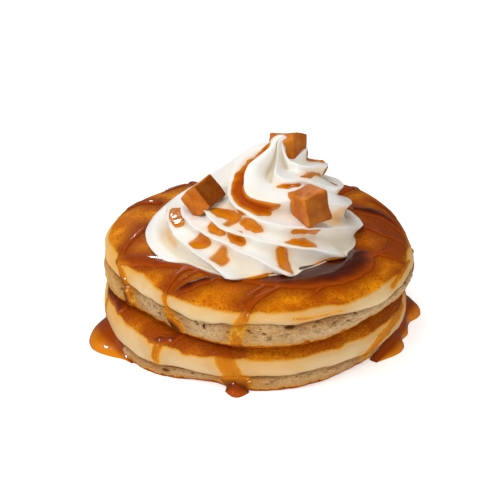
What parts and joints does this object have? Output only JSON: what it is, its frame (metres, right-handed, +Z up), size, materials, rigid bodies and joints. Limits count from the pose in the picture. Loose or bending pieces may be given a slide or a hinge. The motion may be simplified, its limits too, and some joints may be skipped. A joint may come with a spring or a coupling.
{
  "type": "pancake stack",
  "caption": "Stack of thick round pancakes topped with a piped swirl of whipped cream and fudge cubes, with caramel sauce running down the side.",
  "frame": {"origin": "centre of the underside of the lower pancake, on the surface that the stack stands on", "axes": "+Z up out of the stack, -Y towards its front, +X to the right of somebody who looks at the front"},
  "size_m": [0.1227, 0.1175, 0.0701],
  "materials": {
    "pancake": "matte crumb with a browned face",
    "cream": "satin",
    "fudge": "satin",
    "sauce": "wet gloss"
  },
  "bodies": {
    "root": {"pancake_bottom": "pancake", "pancake_top": "pancake", "whipped_cream": "cream", "fudge_cube_left": "fudge", "fudge_cube_right": "fudge", "fudge_cube_back": "fudge", "sauce_pool_left": "sauce", "sauce_pool_right": "sauce", "sauce_drip_front": "sauce"}
  },
  "joints": []
}
